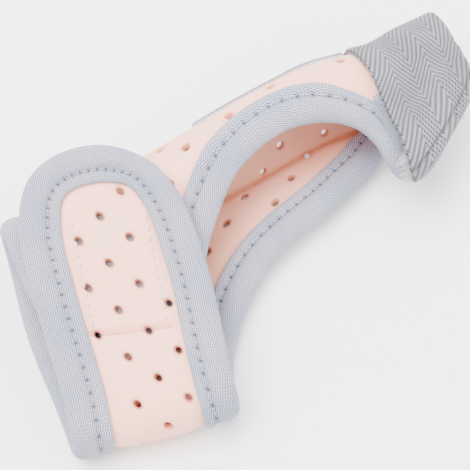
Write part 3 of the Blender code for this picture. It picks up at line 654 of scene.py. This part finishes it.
def build_foam(cloth, edge, room, look):
    """The perforated foam panel: two faces, its hole walls and its hidden rim."""
    rim = np.stack(cloth.inward(edge[0], edge[1], 6.2 * MM * room), axis=-1)
    hem = np.stack(cloth.inward(edge[0], edge[1], TAPE_WIDTH * room), axis=-1)
    holes = hole_centres(hem)
    count = len(rim)
    spots = [tuple(point) for point in rim]
    links = [(i, (i + 1) % count) for i in range(count)]
    starts = []
    for s, t in holes:
        starts.append(len(spots))
        for ring, (radius, _) in enumerate(HOLE_RINGS):
            for side in range(HOLE_SIDES):
                angle = 2 * pi * (side + 0.5 * ring) / HOLE_SIDES
                spots.append((s + radius * MM * cos(angle), t + radius * MM * sin(angle)))
        links += [(starts[-1] + side, starts[-1] + (side + 1) % HOLE_SIDES)
                  for side in range(HOLE_SIDES)]
    low = rim.min(axis=0)
    high = rim.max(axis=0)
    row_step = FOAM_SPACING * 3 ** 0.5 / 2
    grid = []
    for row, t in enumerate(np.arange(low[1], high[1], row_step)):
        shift = FOAM_SPACING / 2 * (row % 2)
        grid += [(s, t) for s in np.arange(low[0] + shift, high[0], FOAM_SPACING)]
    grid = np.array(grid)
    grid = grid[within(rim, grid)]
    grid = grid[distances(rim, grid) > 0.6 * FOAM_SPACING]
    to_hole = np.linalg.norm(grid[:, None] - holes[None], axis=2).min(axis=1)
    grid = grid[to_hole > (HOLE_RINGS[-1][0] + 0.45) * MM]
    spots += [tuple(point) for point in grid]
    flat, _, triangles, *_ = geometry.delaunay_2d_cdt(spots, links, [], 0, 1e-7)
    flat = np.array([tuple(point) for point in flat])
    triangles = np.array([tuple(triangle) for triangle in triangles])
    middle = flat[triangles].mean(axis=1)
    clear = np.linalg.norm(middle[:, None] - holes[None], axis=2).min(axis=1) > 1.13 * MM
    triangles = triangles[clear & within(rim, middle)]
    near = np.linalg.norm(flat[:, None] - holes[None], axis=2).min(axis=1) / MM
    radii, drops = zip(*HOLE_RINGS)
    rounding = np.interp(near, radii + (2.2,), drops + (0.0,)) * MM
    gap = np.where(within(hem, flat), distances(hem, flat), 0.0)
    relief = foam_relief(flat[:, 0], flat[:, 1], gap)
    outer = cloth.place(flat[:, 0], flat[:, 1], HALF_FOAM - rounding + relief)
    inside = -0.38 * MM * np.exp(-(gap / (1.6 * MM)) ** 2) + 0.1 * MM * waves(flat[:, 1], flat[:, 0])
    crease = np.array([valley_place(s) for s in cloth.s])
    crease = flat[:, 1] - np.interp(flat[:, 0], cloth.s, crease)
    begin = smooth(flat[:, 0], 0.20 * SLEEVE_LENGTH, 0.36 * SLEEVE_LENGTH)
    fold = begin * np.exp(-(crease / (1.2 * MM)) ** 2)
    # glow: a broad band of painted shade and warm reflection round the sleeve's crease.
    glow = begin * np.exp(-(crease / (5.0 * MM)) ** 2) * np.where(crease < 0, 1.0, 0.45)
    inside -= 0.55 * MM * fold
    inner = cloth.place(flat[:, 0], flat[:, 1], -(HALF_FOAM - rounding + inside))
    # Painted shade, kept in the lay's third value: darker near each hole's rim.
    hole_shade = np.interp(near, (1.15, 1.3, 1.9), (0.55, 0.18, 0.0))
    total = len(flat)
    points = [outer, inner]
    # The inner face carries painted shade all over, deeper along the crease (fold) and in the broad band
    # round it (glow).
    lay = [np.stack((flat[:, 0] / MM, flat[:, 1] / MM, hole_shade), axis=-1),
           np.stack((flat[:, 0] / MM, flat[:, 1] / MM, np.maximum(hole_shade, 0.32 + 0.55 * fold + 0.20 * glow)), axis=-1)]
    faces = [tuple(face) for face in triangles]
    faces += [tuple(face[::-1] + total) for face in triangles]
    base = 2 * total
    shares = (0.85, 0.45, 0.0, -0.45, -0.85)
    for start, (s, t) in zip(starts, holes):
        ring = [start + side for side in range(HOLE_SIDES)]
        levels = [ring]
        for share in shares:
            angles = 2 * pi * np.arange(HOLE_SIDES) / HOLE_SIDES
            radius = (1.15 - 0.38 * (1 - share * share)) * MM
            spot_s = s + radius * np.cos(angles)
            spot_t = t + radius * np.sin(angles)
            points.append(cloth.place(spot_s, spot_t, share * 0.98 * MM))
            # Painted shade on the hole walls.
            shade = np.full(HOLE_SIDES, 0.85)
            lay.append(np.stack((spot_s / MM, spot_t / MM, shade), axis=-1))
            levels.append(list(range(base, base + HOLE_SIDES)))
            base += HOLE_SIDES
        levels.append([total + index for index in ring])
        for upper, lower in zip(levels, levels[1:]):
            for side in range(HOLE_SIDES):
                following = (side + 1) % HOLE_SIDES
                faces.append((upper[side], upper[following], lower[following], lower[side]))
    clockwise = np.sum(rim[:, 0] * np.roll(rim[:, 1], -1) - np.roll(rim[:, 0], -1) * rim[:, 1]) < 0
    for i in range(count):
        following = (i + 1) % count
        face = (i, total + i, total + following, following)
        faces.append(face[::-1] if clockwise else face)
    made = add_piece("foam_cloth", np.vstack(points), faces, look,
                     lay=np.vstack(lay), replaces=["foam_panel"])
    return made


def tape_lift(depth):
    """Height of the tape over the cloth's middle at a depth in from the edge."""
    depths, lifts = zip(*TAPE_PROFILE)
    return np.interp(depth / MM, depths, lifts) * MM


def build_binding(cloth, edge, room, length, look):
    """The knit tape, puffed between its edge and its seam, on both faces."""
    s, t = edge
    count = len(s)
    along = np.arange(count) / count * length
    repeats = round(length / MM / KNIT_WAVE / WAVES_REPEAT)
    stitches = repeats * STITCHES_REPEAT
    pull = 0.5 - 0.5 * np.cos(2 * pi * along / length * stitches)
    half = [(depth, lift) for depth, lift in TAPE_PROFILE]
    profile = [(depth, -lift, False) for depth, lift in reversed(half)]
    profile += [(depth, lift, False) for depth, lift in half[1:]]
    profile += [(depth, lift, True) for depth, lift in TAPE_LINING]
    profile += [(depth, -lift, True) for depth, lift in reversed(TAPE_LINING)]
    spread = [0.0]
    for (a, b, _), (c, d, _) in zip(profile, profile[1:]):
        spread.append(spread[-1] + hypot(c - a, d - b))
    rings = []
    shades = []
    for depth, lift, _ in profile:
        share = room if depth > 2.0 else 1.0
        ring_s, ring_t = cloth.inward(s, t, depth * MM * share)
        puff = 0.12 * MM * np.exp(-((depth - 3.5) / 2.5) ** 2) * np.sin(2 * pi * along / (23 * MM))
        sink = 0.40 * MM * np.exp(-((depth - 7.1) / 0.8) ** 2) * pull
        height = lift * MM + np.sign(lift) * (puff - sink)
        rings.append(cloth.place(ring_s, ring_t, height))
        # Shades: painted shade along the seam's groove, read by the knit's look.
        shades.append(np.exp(-((depth - 7.1) / 0.55) ** 2) + 0 * along)
    points = np.stack(rings, axis=1)
    size = len(profile)
    faces = []
    corner_lay = []
    waves_count = repeats * WAVES_REPEAT
    scaled = along / length * waves_count * KNIT_WAVE
    for i in range(count):
        following = (i + 1) % count
        end = scaled[i + 1] if i + 1 < count else waves_count * KNIT_WAVE
        for j in range(size):
            nearby = (j + 1) % size
            faces.append((i * size + j, following * size + j,
                          following * size + nearby, i * size + nearby))
            far = spread[j + 1] if j + 1 < size else spread[j] + 1.0
            corner_lay += [
                (scaled[i], spread[j], shades[j][i]), (end, spread[j], shades[j][following]),
                (end, far, shades[nearby][following]), (scaled[i], far, shades[nearby][i])]
    made = add_piece("knit_binding", points.reshape(-1, 3), faces, look,
                     corner_lay=corner_lay, replaces=["edge_binding"])
    return made, stitches


def build_seam(cloth, edge, room, stitches, look):
    """Lockstitches along the binding, in its groove, on both faces."""
    s, t = edge
    count = len(s)
    ring_s, ring_t = cloth.inward(s, t, SEAM_DEPTH * room)
    ring = np.stack((np.append(ring_s, ring_s[0]), np.append(ring_t, ring_t[0])), axis=-1)
    marks = np.arange(count + 1) / count * stitches
    paths = []
    share = STITCH_SHARE
    for face in (1.0, -1.0):
        for k in range(stitches):
            u = np.linspace(-share / 2, share / 2, 7)
            spots = (k + u) % stitches
            stitch_s = np.interp(spots, marks, ring[:, 0])
            stitch_t = np.interp(spots, marks, ring[:, 1])
            rise = SEAM_LIFT + 0.10 * MM - 0.42 * MM * (2 * u / share) ** 4
            paths.append(cloth.place(stitch_s, stitch_t, face * rise))
    points, faces, lay = tubes(paths, STITCH_RADIUS)
    return add_piece("binding_stitches", points, faces, look, lay=lay)


def build_sheet(cloth, name, spots, lift, half, shape, look, relief=None, lay=None,
                replaces=()):
    """A piece of tape that follows the cloth, raised by any relief passed in: two faces and a rim."""
    rows, columns = shape
    s, t = spots
    rise = relief if relief is not None else np.zeros((rows, columns))
    upper = cloth.place(s, t, lift + half + rise)
    lower = cloth.place(s, t, lift - half + rise * 0.3)
    points = np.vstack((upper.reshape(-1, 3), lower.reshape(-1, 3)))
    total = rows * columns
    top = grid_faces(rows, columns)
    step = cloth.place(s[0:1, 0:1], t[0:1, 0:1], 0)[0, 0]
    side_a = cloth.place(s[1:2, 0:1], t[1:2, 0:1], 0)[0, 0] - step
    side_b = cloth.place(s[0:1, 1:2], t[0:1, 1:2], 0)[0, 0] - step
    normal = cloth.read(cloth.normals, s[0:1, 0:1], t[0:1, 0:1])[0, 0]
    if np.dot(np.cross(side_a, side_b), normal) < 0:
        top = top[:, ::-1]
        turned = True
    else:
        turned = False
    faces = [tuple(face) for face in top]
    faces += [tuple(face[::-1] + total) for face in top]
    rim = [(i, 0) for i in range(rows)] + [(rows - 1, j) for j in range(1, columns)]
    rim += [(i, columns - 1) for i in range(rows - 2, -1, -1)] + [(0, j) for j in range(columns - 2, 0, -1)]
    index = [i * columns + j for i, j in rim]
    for a, b in zip(index, index[1:] + index[:1]):
        face = (a, a + total, b + total, b)
        faces.append(face if turned else face[::-1])
    if lay is not None:
        lay = np.vstack((lay.reshape(-1, 3), lay.reshape(-1, 3)))
    made = add_piece(name, points, faces, look, lay=lay, replaces=replaces)
    return made


def elastic_spot(u, v):
    """Place s, t under the elastic: u from its wrist side to the tip, v from tail to free end."""
    side = ELASTIC_LONG_SIDE * (1 - u) + ELASTIC_SHORT_SIDE * u
    s = SLEEVE_LENGTH - TIP_MARGIN - ELASTIC_WIDTH * (1 - u)
    return s, ELASTIC_TAIL - v * (ELASTIC_TAIL + side)


def edge_round(share, length, radius):
    """How much lower a face is near its sides, from 0 inside to 1 at the side."""
    gap = np.minimum(share, 1 - share) * length
    near = np.clip(1 - gap / radius, 0, 1)
    return 1 - np.sqrt(1 - near ** 2)


def elastic_lift(u, v):
    """Height of the elastic's middle: low on bare foam, stepping up over binding, pile and hook."""
    under = TAPE_OUTSIDE + STACK_GAP
    over_pile = under + PILE_THICKNESS + STACK_GAP
    over_hook = over_pile + HOOK_THICKNESS + STACK_GAP
    marks = (0.0, PILE_SPAN[0] - 0.12, PILE_SPAN[0] - 0.01, HOOK_SPAN[0] - 0.08,
             HOOK_SPAN[0] - 0.01, 1.0)
    lifts = (under, under, over_pile, over_pile, over_hook, over_hook)
    bare = (1 - smooth(u, 0.15, 0.62)) * (1 - smooth(v, 0.34, 0.52)) * smooth(v, 0.02, 0.12)
    return np.interp(v, marks, lifts) + ELASTIC_HALF - 1.25 * MM * bare


def build_elastic(cloth, look):
    """The herringbone elastic, with real ribs and a hem at its free end."""
    rows, columns = 91, 241
    u = np.linspace(0, 1, rows)[:, None] + np.zeros((1, columns))
    v = np.zeros((rows, 1)) + np.linspace(0, 1, columns)[None, :]
    s, t = elastic_spot(u, v)
    across = u * ELASTIC_WIDTH / MM
    span = ELASTIC_TAIL + ELASTIC_LONG_SIDE * (1 - u) + ELASTIC_SHORT_SIDE * u
    along = v * span / MM
    band = across % (2 * RIB_BAND)
    swing = 1.25 * np.minimum(band, 2 * RIB_BAND - band)
    to_end = (1 - v) * span / MM
    ribs = np.sin(2 * pi * (along + swing) / RIB_PITCH) * smooth(to_end, 0.6, 1.4)
    hem = -0.45 * np.exp(-((to_end - 2.4) / 0.4) ** 2) + 0.25 * smooth(2.2 - to_end, 0, 0.6)
    ease = (edge_round(u, ELASTIC_WIDTH, 1.0 * MM) + edge_round(v, 55 * MM, 0.7 * MM)) * 0.55
    relief = (0.10 * ribs + hem + 0.12 * waves(s, t * 2)) * MM - ease * MM
    # Painted shade in the hem's groove.
    shade = 0.75 * np.exp(-((to_end - 2.4) / 0.35) ** 2)
    lay = np.stack((across, along, shade), axis=-1)
    made = build_sheet(cloth, "herringbone_strap", (s, t), elastic_lift(u, v), ELASTIC_HALF,
                       (rows, columns), look, relief=relief, lay=lay,
                       replaces=["thumb_strap"])
    return made


def build_pile(cloth, look, hair_look, random):
    """The pile patch on the lobe, with its loops."""
    rows, columns = 41, 41
    u = np.linspace(-0.06, 0.90, rows)[:, None] + np.zeros((1, columns))
    start = PILE_SPAN[0] + 0.05
    v = np.zeros((rows, 1)) + np.linspace(start, PILE_SPAN[1], columns)[None, :]
    s, t = elastic_spot(u, v)
    lift = TAPE_OUTSIDE + STACK_GAP + PILE_THICKNESS / 2
    inset = edge_round(np.linspace(0, 1, rows), 26 * MM, 1.2 * MM)[:, None]
    relief = -(inset + edge_round(np.linspace(0, 1, columns), 20 * MM, 1.2 * MM)[None, :]) * 0.3 * MM
    made = build_sheet(cloth, "pile_patch", (s, t), lift, PILE_THICKNESS / 2, (rows, columns),
                       look, relief=relief, replaces=["loop_patch"])
    paths = []
    for _ in range(1500):
        a = random.uniform(-0.055, 0.06)
        b = random.uniform(start, PILE_SPAN[1])
        spot = elastic_spot(a, b)
        turn = random.uniform(0, 2 * pi)
        reach = random.uniform(0.25, 0.55) * MM
        u = np.linspace(0, 1, 5)
        ds = reach * cos(turn) * u
        dt = reach * sin(turn) * u
        rise = PILE_THICKNESS / 2 - 0.05 * MM + 0.45 * MM * np.sin(pi * u)
        paths.append(cloth.place(spot[0] + ds, spot[1] + dt, lift + rise))
    points, faces, lay = tubes(paths, 0.035 * MM, 4)
    add_piece("pile_loops", points, faces, hair_look, lay=lay)


def build_strap_hook(cloth, look, hair_look, random):
    """Hook tape under the elastic's free end, with the plush fuzz at its corner."""
    rows, columns = 41, 25
    u = np.linspace(0.03, 0.97, rows)[:, None] + np.zeros((1, columns))
    v = np.zeros((rows, 1)) + np.linspace(HOOK_SPAN[0], HOOK_SPAN[1], columns)[None, :]
    s, t = elastic_spot(u, v)
    under = TAPE_OUTSIDE + STACK_GAP + PILE_THICKNESS + STACK_GAP
    made = build_sheet(cloth, "hook_tape", (s, t), under + HOOK_THICKNESS / 2, HOOK_THICKNESS / 2,
                       (rows, columns), look, replaces=["strap_hook"])
    paths = []
    for _ in range(700):
        a = random.uniform(-0.02, 0.16) if random.uniform() < 0.75 else random.uniform(0.0, 0.5)
        b = random.uniform(0.90, 1.0)
        spot = elastic_spot(a, b)
        turn = random.normal(0.0, 0.6)
        reach = random.uniform(1.2, 4.2) * MM
        u = np.linspace(0, 1, 6)
        ds = -reach * cos(turn) * u * 0.8
        dt = -reach * abs(sin(turn)) * u * 0.5
        sag = random.uniform(-0.4, 0.5) * MM * u ** 2
        paths.append(cloth.place(spot[0] + ds, spot[1] + dt, under + 0.5 * MM + sag))
    points, faces, lay = tubes(paths, 0.045 * MM, 4)
    add_piece("hook_fuzz", points, faces, hair_look, lay=lay)


def build_hook_patch(cloth, look, hair_look):
    """Hook patch inside the tab, with rows of small hooks."""
    rows, columns = 35, 67
    a = np.linspace(0, 1, rows)[:, None] + np.zeros((1, columns))
    b = np.zeros((rows, 1)) + np.linspace(0, 1, columns)[None, :]
    s = HOOK_LEFT + HOOK_WIDTH * a
    end = HOOK_END - 6.0 * MM * np.abs(2 * a - 1) ** 3
    t = end - (HOOK_LENGTH - HOOK_END + end) * (1 - b) - HOLE_COLUMN_DROP * (1 - a)
    lift = -(HALF_FOAM + 0.3 * MM + HOOK_THICKNESS / 2)
    made = build_sheet(cloth, "tab_hooks", (s, t), lift, HOOK_THICKNESS / 2, (rows, columns),
                       look, replaces=["hook_patch"])
    paths = []
    for i in range(1, 16):
        for j in range(1, 30):
            share_a = i / 16
            share_b = (j + 0.5 * (i % 2)) / 30.5
            hook_s = HOOK_LEFT + HOOK_WIDTH * share_a
            hook_t = HOOK_END - HOOK_LENGTH * (1 - share_b) - HOLE_COLUMN_DROP * (1 - share_a)
            u = np.linspace(0, 1, 6)
            bend = 0.45 * MM * (1 - np.cos(pi * u)) / 2 * (1 if j % 2 else -1)
            drop = lift - HOOK_THICKNESS / 2 + 0.05 * MM - 0.75 * MM * np.sin(pi * 0.62 * u)
            paths.append(cloth.place(hook_s + 0 * u, hook_t + bend, drop))
    points, faces, lay = tubes(paths, 0.06 * MM, 4)
    add_piece("small_hooks", points, faces, hair_look, lay=lay)


def build_patch_seam(cloth, look):
    """The two rows of pale stitches that hold the hook patch, seen on the tab."""
    paths = []
    for side in (0.03, 0.97):
        spot_s = HOOK_LEFT + HOOK_WIDTH * side
        drop = HOLE_COLUMN_DROP * (1 - side)
        for k in range(11):
            start = HOOK_END - HOOK_LENGTH - drop + (1.0 + k * 2.5) * MM
            u = np.linspace(0, 1, 6)
            spot_t = start + 1.7 * MM * u
            rise = HALF_FOAM + 0.72 * MM - 0.45 * MM * (2 * u - 1) ** 4
            paths.append(cloth.place(spot_s + 0 * u, spot_t, rise))
    points, faces, lay = tubes(paths, 0.24 * MM)
    add_piece("patch_stitches", points, faces, look, lay=lay)


def build_back_strip(cloth, look):
    """The grey strip along the back of the thumb sleeve."""
    rows, columns = 81, 31
    a = np.linspace(0, 1, rows)[:, None] + np.zeros((1, columns))
    b = np.zeros((rows, 1)) + np.linspace(0, 1, columns)[None, :]
    end = elastic_spot(0, 0)[0] - 0.6 * MM
    start = (0.44 + 0.06 * b) * SLEEVE_LENGTH
    s = start + (end - start) * a
    t = -3.0 * MM + 17.0 * MM * b
    ease = edge_round(a, 52 * MM, 1.0 * MM) + edge_round(b, 17 * MM, 1.0 * MM)
    relief = 0.08 * MM * waves(s * 2, t) - 0.45 * MM * ease
    lay = np.stack((s / MM, t / MM, 0 * s), axis=-1)
    made = build_sheet(cloth, "sleeve_strip", (s, t), 2.4 * MM, 0.6 * MM, (rows, columns), look,
                       relief=relief, lay=lay, replaces=["back_strip"])


def add_light(name, place, size, power, colour=(1, 1, 1)):
    """A square soft light that faces the part."""
    lamp = bpy.data.lights.new(name, "AREA")
    lamp.size = size
    lamp.energy = power
    lamp.color = colour
    made = bpy.data.objects.new(name, lamp)
    made.location = place
    made.rotation_euler = Vector(place).to_track_quat("Z", "Y").to_euler()
    bpy.context.scene.collection.objects.link(made)


def build_studio():
    """Floor, soft lights and the camera of the photograph."""
    mesh = bpy.data.meshes.new("studio_floor")
    mesh.from_pydata([(-3, -3, 0), (3, -3, 0), (3, 3, 0), (-3, 3, 0)], [], [(0, 1, 2, 3)])
    floor = bpy.data.objects.new("studio_floor", mesh)
    bpy.context.scene.collection.objects.link(floor)
    look = Look("studio_white", 0.7)
    look.shader.inputs["Base Color"].default_value = (0.95, 0.95, 0.95, 1)
    mesh.materials.append(look.material)
    world = bpy.data.worlds.new("studio_world")
    world.use_nodes = True
    world.node_tree.nodes["Background"].inputs["Color"].default_value = (1.0, 1.0, 1.0, 1)
    world.node_tree.nodes["Background"].inputs["Strength"].default_value = 1.7
    bpy.context.scene.world = world
    add_light("key", (-0.22, 0.05, 0.80), 0.5, 18.0)
    add_light("fill", (0.55, -0.35, 0.55), 0.6, 6.0)
    add_light("top", (0.05, 0.35, 0.8), 0.7, 9.0)
    camera = bpy.data.cameras.new("photo_camera")
    camera.lens = LENS
    camera.sensor_width = 36.0
    camera.shift_x, camera.shift_y = LENS_SHIFT
    camera.clip_start = 0.01
    made = bpy.data.objects.new("photo_camera", camera)
    back = Vector((sin(VIEW_AZIMUTH) * cos(VIEW_ELEVATION),
                   -cos(VIEW_AZIMUTH) * cos(VIEW_ELEVATION), sin(VIEW_ELEVATION)))
    made.location = Vector(VIEW_TARGET) + VIEW_DISTANCE * back
    made.rotation_euler = back.to_track_quat("Z", "Y").to_euler()
    bpy.context.scene.collection.objects.link(made)
    bpy.context.scene.camera = made


def build_splint():
    """Every visible piece of the splint."""
    random = np.random.default_rng(7)
    cloth = FoldedCloth()
    s, t, length = edge_loop(cloth, EDGE_SPACING)
    coarse_s, coarse_t, _ = edge_loop(cloth, 3.2 * MM)
    coarse = tape_room(cloth, coarse_s, coarse_t)
    marks = np.arange(len(coarse)) / len(coarse)
    room = np.interp(np.arange(len(s)) / len(s), marks, coarse, period=1.0)
    knit = knit_look()
    threads = thread_look("grey_thread", (0.42, 0.43, 0.53, 1))
    build_foam(cloth, (s, t), room, foam_look())
    _, stitches = build_binding(cloth, (s, t), room, length, knit)
    build_seam(cloth, (s, t), room, stitches, threads)
    build_elastic(cloth, elastic_look())
    pile = pile_look("plush_pile", (0.20, 0.23, 0.30, 1), (0.42, 0.45, 0.53, 1))
    plush = thread_look("pale_plush", (0.46, 0.50, 0.60, 1))
    build_pile(cloth, pile, plush, random)
    hooks = pile_look("hook_nylon", (0.38, 0.38, 0.42, 1), (0.60, 0.60, 0.64, 1))
    white = thread_look("white_fuzz", (0.95, 0.95, 0.97, 1))
    build_strap_hook(cloth, hooks, white, random)
    build_hook_patch(cloth, hooks, white)
    build_patch_seam(cloth, thread_look("pale_thread", (0.98, 0.78, 0.70, 1)))
    build_back_strip(cloth, knit_look("grey_strip", (0.44, 0.44, 0.50, 1), (0.33, 0.33, 0.38, 1)))


build_splint()
build_studio()
